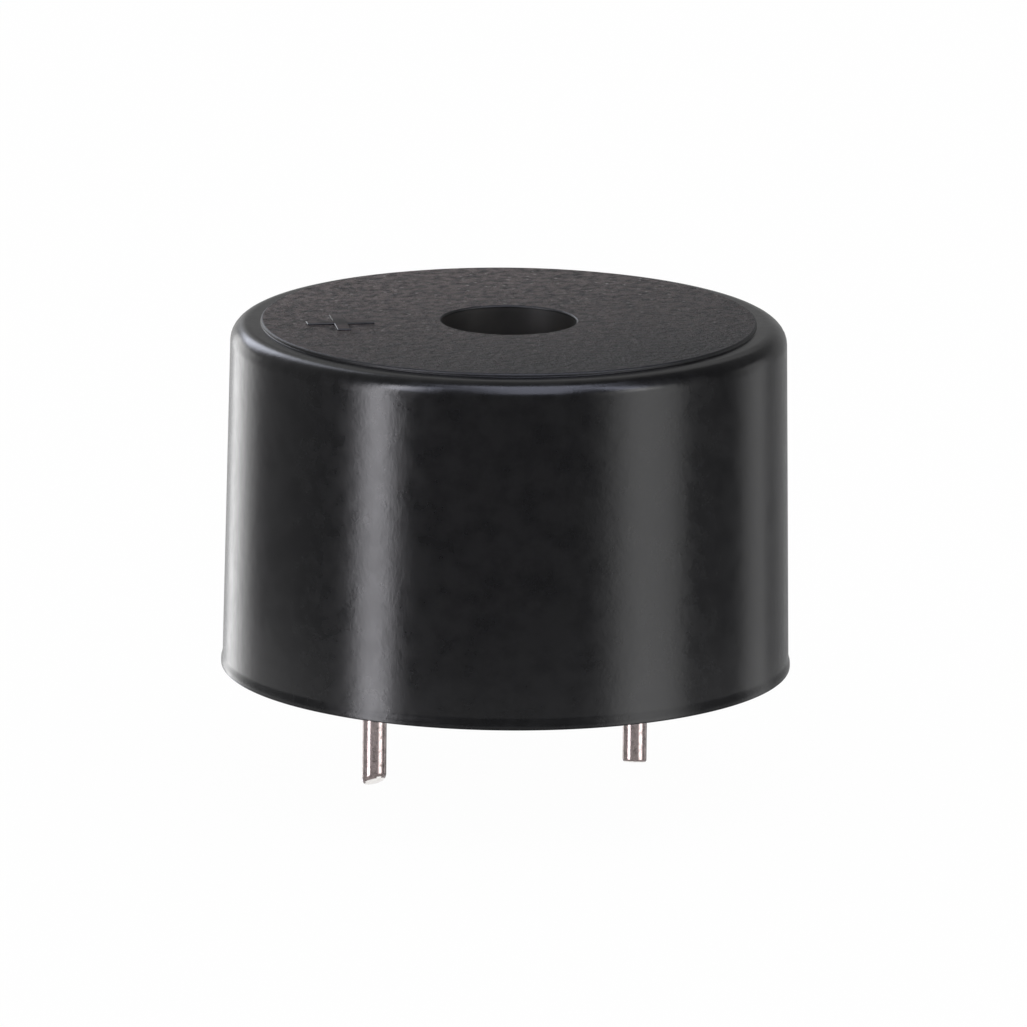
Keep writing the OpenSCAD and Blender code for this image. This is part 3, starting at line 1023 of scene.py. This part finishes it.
@dataclass
class Case:
    """The moulded case, from its open mouth over the roof to the sound port."""

    draft: float = math.radians(1)
    land_fall: float = math.radians(1.2)
    shoulder: float = 0.54 * MM
    roof: float = 1.2 * MM
    lip_out: float = 0.04 * MM
    lip_high: float = 0.3 * MM
    mouth_chamfer: float = 0.12 * MM
    disc_r: float = 7.14 * MM
    disc_high: float = 0.1 * MM
    disc_edge: float = 0.07 * MM
    port_r: float = 1.95 * MM
    port_edge: float = 0.06 * MM
    ledge: float = 0.65 * MM
    small_edge: float = 0.02 * MM
    foot_edge: float = 0.04 * MM
    cavity_edge: float = 0.2 * MM
    steps: int = 256

    def corners(self) -> list[Corner]:
        """Lists the corners of the case's section.

        Returns:
            The radius from the axis, the height and the rounding of each.
        """
        low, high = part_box("case")
        seat, disc_z = low.z, high.z
        land_z = disc_z - self.disc_high
        foot_r = high.x - self.lip_out
        land_r = foot_r - land_z * math.tan(self.draft)
        bore_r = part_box("casting_compound")[1].x
        step_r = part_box("diaphragm_bead")[1].x
        step_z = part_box("driver_board")[1].z
        ledge_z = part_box("diaphragm_plate")[1].z
        cavity_r = step_r - self.ledge
        cavity_z = land_z - self.roof
        lip_x = foot_r - self.lip_high * math.tan(self.draft)
        lip_low = self.lip_high / 2
        edge = self.small_edge
        return [
            (bore_r + self.mouth_chamfer, seat, edge),
            (bore_r, seat + self.mouth_chamfer, edge),
            (bore_r, step_z, edge),
            (step_r, step_z, edge),
            (step_r, ledge_z, edge),
            (cavity_r, ledge_z, edge),
            (cavity_r, cavity_z, self.cavity_edge),
            (self.port_r, cavity_z, edge),
            (self.port_r, disc_z, self.port_edge),
            (self.disc_r, disc_z, self.disc_edge),
            (self.disc_r, land_z, edge),
            (land_r, land_z - (land_r - self.disc_r) * math.tan(self.land_fall), self.shoulder),
            (lip_x, self.lip_high, self.lip_high),
            (foot_r + self.lip_out, lip_low, self.lip_high),
            (foot_r + self.lip_out, seat, self.foot_edge),
        ]

    def build(self) -> Object:
        """Models the case, dresses it, and puts it in place of its solid.

        Returns:
            The finished case.
        """
        case = turned("moulded_case", with_supports(rounded(self.corners())), self.steps)
        disc_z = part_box("case")[1].z
        unite(case, PolarityMark().build(disc_z))
        self.dress(case, disc_z)
        smooth(case)
        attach(case, "root")
        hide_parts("case")
        return case

    def dress(self, case: Object, disc_z: float) -> None:
        """Gives the disc its grain, and the inside and the wall their skins.

        Args:
            case: The case's mesh object.
            disc_z: The height of the disc's face.
        """
        finishes = (WALL, DISC, LIT_INSIDE, MARK, RIM)
        case.data.materials.clear()
        for finish in finishes:
            case.data.materials.append(finish.material())
        bore_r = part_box("casting_compound")[1].x
        grain_r = self.disc_r - self.disc_edge / 2
        roof_z = disc_z - self.disc_high - self.port_edge
        near = 0.002 * MM
        level = 0.99

        def on_disc(middle: Vector, _normal: Vector) -> bool:
            """Says whether a face is part of the disc's grained top."""
            flat = abs(middle.z - disc_z) < near
            return flat and self.port_r < middle.xy.length < grain_r

        def inside(middle: Vector, _normal: Vector) -> bool:
            """Says whether a face is inside the bore."""
            return middle.z < roof_z and middle.xy.length < bore_r + near

        def on_mark(middle: Vector, normal: Vector) -> bool:
            """Says whether a face is the top of the raised mark."""
            return normal.z > level and middle.z > disc_z + near

        def on_rim(middle: Vector, _normal: Vector) -> bool:
            """Says whether a face is part of the disc's two rounded rims."""
            low, out = disc_z - self.disc_high + near, self.disc_r + near
            return low < middle.z < disc_z + near and middle.xy.length < out

        for finish, test in ((RIM, on_rim), (DISC, on_disc), (LIT_INSIDE, inside), (MARK, on_mark)):
            paint_faces(case, finishes.index(finish), test)


def axis_of(node: str) -> tuple[float, float]:
    """Finds where the upright axis of a node's solid stands in plan."""
    low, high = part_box(node)
    return (low.x + high.x) / 2, (low.y + high.y) / 2


@dataclass
class LeadPin:
    """One round lead pin with a stouter shank and a sheared lower end."""

    node: str
    shear: float
    faces: float
    burr: float
    radius: float = 0.35 * MM
    shank_edge: float = 0.1 * MM
    recess: float = 0.36 * MM
    steps: int = 96

    def build(self) -> Object:
        """Models the pin, dresses it, and puts it in place of its solid.

        Returns:
            The finished pin.
        """
        low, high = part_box(self.node)
        centre = axis_of(self.node)
        shank = (high.x - low.x) / 2
        corners = [
            (0, low.z - self.burr, 0),
            (self.radius, low.z - self.burr, 0),
            (self.radius, self.recess, 0),
            (shank, self.recess, 0),
            (shank, high.z, self.shank_edge),
            (0, high.z, 0),
        ]
        outline = with_supports(rounded(corners), closed=False)
        pin = turned(self.node + "_wire", outline, self.steps, centre, closed=False)
        pin.data.materials.append(SHADED_TIN.material())
        pin.data.materials.append(FRESH_CUT.material())
        self.cut_off(pin, Vector((*centre, low.z)))
        smooth(pin)
        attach(pin, "root")
        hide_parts(self.node)
        return pin

    def cut_off(self, pin: Object, tip: Vector) -> None:
        """Shears the lower end on a slant and rounds the rim that it leaves.

        Args:
            pin: The pin's mesh object.
            tip: The lowest point of the pin's axis.
        """
        turn, slant = math.radians(self.faces), math.radians(self.shear)
        way = Vector((math.cos(turn), math.sin(turn), 0))
        normal = way * math.sin(slant) - Vector((0, 0, math.cos(slant)))
        hinge = tip - way * self.radius
        support = hinge - normal * 1.3 * self.burr
        near = 0.001 * MM
        same_way = 0.8

        def on_rim(a: Vector, b: Vector) -> bool:
            """Says whether an edge lies on the rim of the sheared face."""
            return max(abs((a - hinge).dot(normal)), abs((b - hinge).dot(normal))) < near

        def sheared(_middle: Vector, facing: Vector) -> bool:
            """Says whether a face is sheared, or smeared over by the shears."""
            return facing.dot(normal) > same_way

        with editing(pin, Pick.EDGES, whole=True):
            cut = {"plane_no": normal, "threshold": near / 10}
            bpy.ops.mesh.bisect(plane_co=hinge, use_fill=True, clear_outer=True, **cut)
            bpy.ops.mesh.select_all(action="SELECT")
            bpy.ops.mesh.bisect(plane_co=support, **cut)
            pick_edges(pin, on_rim)
            bpy.ops.mesh.bevel(offset=self.burr, segments=6, affect="EDGES")
        lift = tip.z - min(vertex.co.z for vertex in pin.data.vertices)
        with editing(pin, Pick.FACES):
            pick_faces(pin, lambda middle, _normal: middle.z < tip.z + 2 * self.radius)
            bpy.ops.transform.translate(value=(0, 0, lift))
        paint_faces(pin, 1, sheared)


@dataclass
class CastFloor:
    """The casting compound that closes the case round the board and pins."""

    recess: float = 0.32 * MM
    wall_creep: float = 0.16 * MM
    pin_creep: float = 0.26 * MM
    pin_r: float = 0.35 * MM
    collar_sunk: float = 0.01 * MM
    steps: int = 192
    pin_steps: int = 96
    collar_steps: int = 64
    curve_steps: int = 10

    def build(self) -> Object:
        """Models the compound, dresses it, and puts it in place of its solid.

        Returns:
            The finished compound.
        """
        edge_r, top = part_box("casting_compound")[1].x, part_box("casting_compound")[1].z
        board_low, board_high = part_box("driver_board")
        creep = self.wall_creep
        outline = (
            [(0, self.recess), (edge_r - creep, self.recess)]
            + self.hollow(edge_r - creep, self.recess - creep, creep, 90, 0)
            + [(edge_r, top), (board_high.x, top), (board_high.x, board_low.z), (0, board_low.z)]
        )
        cast = turned("cast_floor", with_supports(outline, closed=False), self.steps, closed=False)
        for node in ("positive_pin", "negative_pin"):
            unite(cast, self.collar(node, board_low.z))
            unite(cast, self.hole(node, board_low.z), Merge.CUT)
        smooth(cast)
        cast.data.materials.clear()
        cast.data.materials.append(COMPOUND.material())
        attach(cast, "root")
        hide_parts("casting_compound")
        return cast

    def hollow(self, x: float, z: float, radius: float, start: float, end: float) -> Outline:
        """Gives the points of the hollow curve of a meniscus.

        Args:
            x: The curve's centre, out from the axis.
            z: The curve's centre, up.
            radius: Its radius.
            start: The angle at its first point, in degrees.
            end: The angle at its last point, in degrees.

        Returns:
            The points along it.
        """
        steps = self.curve_steps
        turns = [math.radians(start + (end - start) * i / steps) for i in range(steps + 1)]
        return [(x + radius * math.cos(t), z + radius * math.sin(t)) for t in turns]

    def collar(self, node: str, top: float) -> Object:
        """Makes the compound that climbs a pin.

        Args:
            node: The pin's node.
            top: How far up the collar reaches into the compound.

        Returns:
            The collar, to be joined to the compound.
        """
        wide, reach = self.pin_r + self.pin_creep, self.pin_creep + self.collar_sunk
        middle_z = (self.recess + top) / 2
        outline = self.hollow(wide, self.recess - reach, reach, 180, 90)
        outline += [(wide, middle_z), (0, middle_z), (0, outline[0][1])]
        return turned("collar", outline, self.collar_steps, axis_of(node))

    def hole(self, node: str, top: float) -> Object:
        """Makes the room that a pin takes in the compound below this height."""
        return new_primitive(
            "hole",
            bpy.ops.mesh.primitive_cylinder_add,
            vertices=self.pin_steps,
            radius=self.pin_r,
            depth=2 * top,
            location=(*axis_of(node), top / 2),
        )


@dataclass
class Inside:
    """The pieces that stay as their solids, dressed by the record's slots."""

    def dress(self) -> list[Object]:
        """Gives each solid that still shows the finish of its slot.

        Returns:
            The pieces that were dressed.
        """
        slots = {part["node"]: part["material_slot"] for part in frame["record"]["subparts"]}
        made = {slot: finish.material() for slot, finish in SLOT_FINISHES.items()}
        dressed = []
        for name, piece in frame["nodes"].items():
            slot = slots[name]
            if piece.hide_render or slot not in made:
                continue
            piece.data.materials.clear()
            piece.data.materials.append(made[slot])
            dressed.append(piece)
        return dressed


# -------------------------------------------------------------------- studio


def direction(azimuth: float, elevation: float) -> Vector:
    """Points away from the case, by degrees round from -Y towards +X and degrees up."""
    a, e = math.radians(azimuth), math.radians(elevation)
    return Vector((math.sin(a) * math.cos(e), -math.cos(a) * math.cos(e), math.sin(e)))


@dataclass
class Viewpoint:
    """The camera, far off with a long lens, a little above the case's top."""

    azimuth: float = -8.0
    elevation: float = 13.0
    distance: float = 0.5
    lens: float = 607.8
    sensor: float = 36.0
    roll: float = 0.585
    right: float = 0.186 * MM
    down: float = 0.623 * MM

    def build(self) -> None:
        """Makes the camera and sets it as the scene's own."""
        low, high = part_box("case")
        centre = (low + high) / 2
        back = direction(self.azimuth, self.elevation)
        right = Vector((0, 0, 1)).cross(back).normalized()
        up = back.cross(right)
        data = bpy.data.cameras.new("viewpoint")
        data.lens = self.lens
        data.sensor_width = self.sensor
        data.clip_start, data.clip_end = self.distance / 50, self.distance * 40
        camera = bpy.data.objects.new("viewpoint", data)
        camera.location = centre + back * self.distance
        aim = centre + right * self.right - up * self.down
        look = (aim - camera.location).to_track_quat("-Z", "Y")
        camera.rotation_mode = "QUATERNION"
        camera.rotation_quaternion = look @ Quaternion((0, 0, 1), math.radians(self.roll))
        bpy.context.scene.collection.objects.link(camera)
        bpy.context.scene.camera = camera


COOL = (0.94, 0.98, 1.12)
BLUISH = (0.93, 0.97, 1.2)


def area_lamp(name: str, size: tuple[float, float], brightness: float, colour: Colour) -> Object:
    """Makes a rectangular lamp that shows only in what mirrors it.

    Args:
        name: The lamp's name.
        size: Its width and its height.
        brightness: How bright its face is, where 1 is white.
        colour: Its colour.

    Returns:
        The lamp, at the origin and facing down.
    """
    data = bpy.data.lights.new(name, "AREA")
    data.shape = "RECTANGLE"
    data.size, data.size_y = size
    data.energy = brightness * math.pi * data.size * data.size_y
    data.color = colour
    lamp = bpy.data.objects.new(name, data)
    lamp.visible_camera = lamp.visible_diffuse = False
    bpy.context.scene.collection.objects.link(lamp)
    return lamp


@dataclass(frozen=True)
class Softbox:
    """An upright rectangular lamp, placed by the angles that it fills.

    Azimuths run from -Y towards +X, and elevations from the floor up.
    """

    name: str
    start: float
    end: float
    low: float
    high: float
    brightness: float
    fade_start: float = 0.1
    fade_end: float = 0.1
    distance: float = 0.25
    colour: Colour = (1.0, 1.0, 1.0)

    def build(self, foot: float) -> None:
        """Stands the lamp in its place.

        Args:
            foot: The height of the floor.
        """
        bottom, top = (self.distance * math.tan(math.radians(e)) for e in (self.low, self.high))
        width = 2 * self.distance * math.tan(math.radians(self.end - self.start) / 2)
        lamp = area_lamp(self.name, (width, top - bottom), self.brightness, self.colour)
        self.fade(lamp.data)
        away = direction((self.start + self.end) / 2, 0)
        lamp.location = away * self.distance + Vector((0, 0, foot + (bottom + top) / 2))
        lamp.rotation_mode = "QUATERNION"
        lamp.rotation_quaternion = away.to_track_quat("Z", "Y")

    def fade(self, data: bpy.types.AreaLight) -> None:
        """Lets the lamp grow dim towards its two upright edges.

        Args:
            data: The lamp's data.
        """
        data.use_nodes = True
        tree = data.node_tree
        tree.nodes.clear()
        face = put(tree, "NewGeometry").outputs["Parametric"]
        across = put(tree, "SeparateXYZ", Vector=face).outputs["X"]
        rising = ranged(tree, across, start=0.0, stop=self.fade_start, gentle=True)
        falling = ranged(tree, across, start=1.0, stop=1.0 - self.fade_end, gentle=True)
        both = calculated(tree, "MULTIPLY", rising, falling)
        level = ranged(tree, both, low=min(1.0, 1 / self.brightness))
        glow = put(tree, "Emission", Strength=level)
        put(tree, "OutputLight", Surface=glow.outputs[0])


@dataclass(frozen=True)
class Overhead:
    """A lamp that hangs level above the case, a little to the front."""

    name: str
    right: float
    width: float
    brightness: float
    front: float = 0.119
    above: float = 0.2
    depth: float = 0.24
    colour: Colour = BLUISH

    def build(self, foot: float) -> None:
        """Hangs the lamp above a floor at this height."""
        lamp = area_lamp(self.name, (self.width, self.depth), self.brightness, self.colour)
        lamp.location = (self.right, -self.front, foot + self.above)


@dataclass
class Card:
    """A grey card beside the case, seen only in what mirrors it."""

    name: str
    low: float
    top: float
    grey: float
    start: float = 88
    end: float = 181
    distance: float = 0.4
    panels: int = 10

    def build(self, foot: float) -> None:
        """Bends the card round the case on an arc and stands it up.

        Args:
            foot: The height of the floor.
        """
        edge = direction(self.start, 0) * self.distance
        card = new_primitive(self.name, bpy.ops.mesh.primitive_plane_add, size=MM, location=edge)
        with editing(card, whole=True):
            bpy.ops.mesh.merge(type="CENTER")
            bottom, top = (self.distance * math.tan(math.radians(e)) for e in (self.low, self.top))
            bpy.ops.transform.translate(value=(0, 0, foot + bottom))
            bpy.ops.mesh.extrude_region_move(TRANSFORM_OT_translate={"value": (0, 0, top - bottom)})
            bpy.ops.mesh.select_all(action="SELECT")
            turn = math.radians(self.end - self.start)
            bpy.ops.mesh.spin(steps=self.panels, angle=-turn, center=(0, 0, 0), axis=(0, 0, 1))
        canvas = Canvas("grey_card")
        canvas.show(put(canvas.tree, "Emission", Strength=self.grey))
        card.data.materials.append(canvas.material)
        card.visible_camera = card.visible_diffuse = card.visible_shadow = False
        card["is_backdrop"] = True


@dataclass
class Studio:
    """The pale floor, the light all round, the lamps and the grey cards."""

    floor_size: float = 3.0
    floor_colour: Colour = (0.9, 0.9, 0.9)
    floor_roughness: float = 0.9
    floor_specular: float = 0.1
    polish: float = 0.1
    grazing: tuple[float, float] = (0.5, 0.7)
    backdrop: float = 0.98
    surround: float = 1.0
    ring_inner: tuple[float, float] = (18 * MM, 21 * MM)
    ring_outer: tuple[float, float] = (34 * MM, 25 * MM)
    ring_behind: tuple[float, float] = (-20 * MM, 14 * MM)
    ring_way: Triple = (-0.35, -0.94, 0.0)
    ring_strength: float = 1.5
    boxes: tuple[Softbox | Overhead, ...] = (
        Softbox("left_strip", -73.8, -52, 0, 52, 29, 0.5, 0.42, colour=(1.0, 0.985, 1.04)),
        Softbox("right_panel", 29.5, 68, 0, 32, 7.8, 0.45, 0.5),
        Softbox("right_edge", 55, 69, 0, 32, 2.8, 0.6, 0.1, distance=0.245),
        Softbox("right_upper", 41, 59, 24, 40, 13, 0.4, 0.15, distance=0.24),
        Softbox("right_top", 43, 58.5, 37, 62, 20, 0.35, 0.35, distance=0.23, colour=BLUISH),
        Softbox("left_upper", -67, -43, 29, 64, 12.5, 0.4, 0.35, distance=0.24, colour=BLUISH),
        Softbox("back_right", 103, 123, 0, 20, 1.3, 0.4, 0.35),
        Softbox("back_left", -166, -133.5, 0, 15, 3.4, 0.15, 0.6),
        Softbox("back_tall", -172, -147, 18, 52, 3.3, 0.35, 0.45, colour=COOL),
        Softbox("back_mid", -172, -147, 18, 36, 3.3, 0.35, 0.45, distance=0.24, colour=COOL),
        Overhead("overhead_wide", 0.01, 0.168, 4.2, above=0.21),
        Overhead("overhead_core", 0.0155, 0.095, 6),
    )
    cards: tuple[Card, ...] = (
        Card("card_low", 0, 16, 0.46),
        Card("card_middle", 16, 26, 0.3),
        Card("card_high", 26, 70, 0.3),
        Card("card_behind", 26, 70, 0.7, start=150, distance=0.39, panels=4),
    )

    def build(self) -> None:
        """Lays the floor, sets the world and stands the lamps."""
        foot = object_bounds()[0].z
        plane = bpy.ops.mesh.primitive_plane_add
        floor = new_primitive("studio_floor", plane, size=self.floor_size, location=(0, 0, foot))
        floor.data.materials.append(self.floor_material())
        floor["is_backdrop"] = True
        self.light_world()
        for stand in (*self.boxes, *self.cards):
            stand.build(foot)

    def seen(self, tree: Tree) -> Socket:
        """Says which rays show the backdrop: straight, mirrored or through.

        Args:
            tree: The node tree to work in.

        Returns:
            An output that is 1 for those rays and 0 for the rest.
        """
        rays = put(tree, "LightPath").outputs
        outside = calculated(tree, "MAXIMUM", rays["Is Camera Ray"], rays["Is Glossy Ray"])
        return calculated(tree, "MAXIMUM", outside, rays["Is Transmission Ray"])

    def floor_material(self) -> Material:
        """Builds the floor's material.

        Returns:
            A pale floor that is polished for what stands on it, and clear from below.
        """
        canvas = Canvas("pale_floor")
        tree = canvas.tree
        white = (1, 1, 1, 1)
        canvas.set(Base_Color=(*self.floor_colour, 1), Roughness=self.floor_roughness)
        canvas.set(Specular_IOR_Level=self.floor_specular)
        share = calculated(tree, "MULTIPLY", self.seen(tree), self.backdrop)
        plain = either(tree, share, canvas.shader, put(tree, "Emission", Strength=1.0))

        polished = put(tree, "AddShader")
        mirror = put(tree, "BsdfAnisotropic", Roughness=self.polish, Color=white)
        tree.links.new(mirror.outputs[0], polished.inputs[0])
        ring = put(tree, "Emission", Strength=self.ring(canvas))
        tree.links.new(ring.outputs[0], polished.inputs[1])
        slant = put(tree, "LayerWeight", Blend=0.5).outputs["Facing"]
        grazing = ranged(tree, slant, start=self.grazing[0], stop=self.grazing[1])
        gloss = put(tree, "LightPath").outputs["Is Glossy Ray"]
        above = either(tree, calculated(tree, "MULTIPLY", gloss, grazing), plain, polished)

        below = put(tree, "BsdfTransparent", Color=white)
        canvas.show(either(tree, put(tree, "NewGeometry").outputs["Backfacing"], above, below))
        return canvas.material

    def ring(self, canvas: Canvas) -> Socket:
        """Lights the near part of a pale ring on the floor, for what mirrors it.

        Args:
            canvas: The floor's material being built.

        Returns:
            An output with the ring's strength, which is 0 off the ring.
        """
        tree = canvas.tree
        away = calculated(tree, "LENGTH", canvas.place, vectors=True)
        ahead = calculated(tree, "DOT_PRODUCT", canvas.place, self.ring_way, vectors=True)
        level: Amount = self.ring_strength
        for value, (bare, lit) in (
            (away, self.ring_inner),
            (away, self.ring_outer),
            (ahead, self.ring_behind),
        ):
            share = ranged(tree, value, start=bare, stop=lit, gentle=True)
            level = calculated(tree, "MULTIPLY", level, share)
        return level

    def light_world(self) -> None:
        """Makes the world a plain even light, white to all that sees it."""
        world = bpy.data.worlds.new("studio_air")
        world.use_nodes = True
        tree = world.node_tree
        tree.nodes.clear()
        air = put(tree, "Background", Strength=self.surround)
        put(tree, "OutputWorld", Surface=air.outputs[0])
        bpy.context.scene.world = world


# ---------------------------------------------------------------------- main


def main() -> None:
    """Builds the camera, the pieces and the studio, and reports each piece."""
    logging.basicConfig(level=logging.INFO, format="%(message)s")
    bpy.context.scene.view_settings.view_transform = "Standard"
    Viewpoint().build()
    makers = (
        Case(),
        CastFloor(),
        LeadPin("positive_pin", shear=27, faces=-70, burr=0.17 * MM),
        LeadPin("negative_pin", shear=12.4, faces=-105, burr=0.09 * MM),
    )
    pieces = [maker.build() for maker in makers] + Inside().dress()
    for piece in pieces:
        log.info("%s: %d faces", piece.name, len(piece.data.polygons))
    Studio().build()


if __name__ == "__main__":
    main()
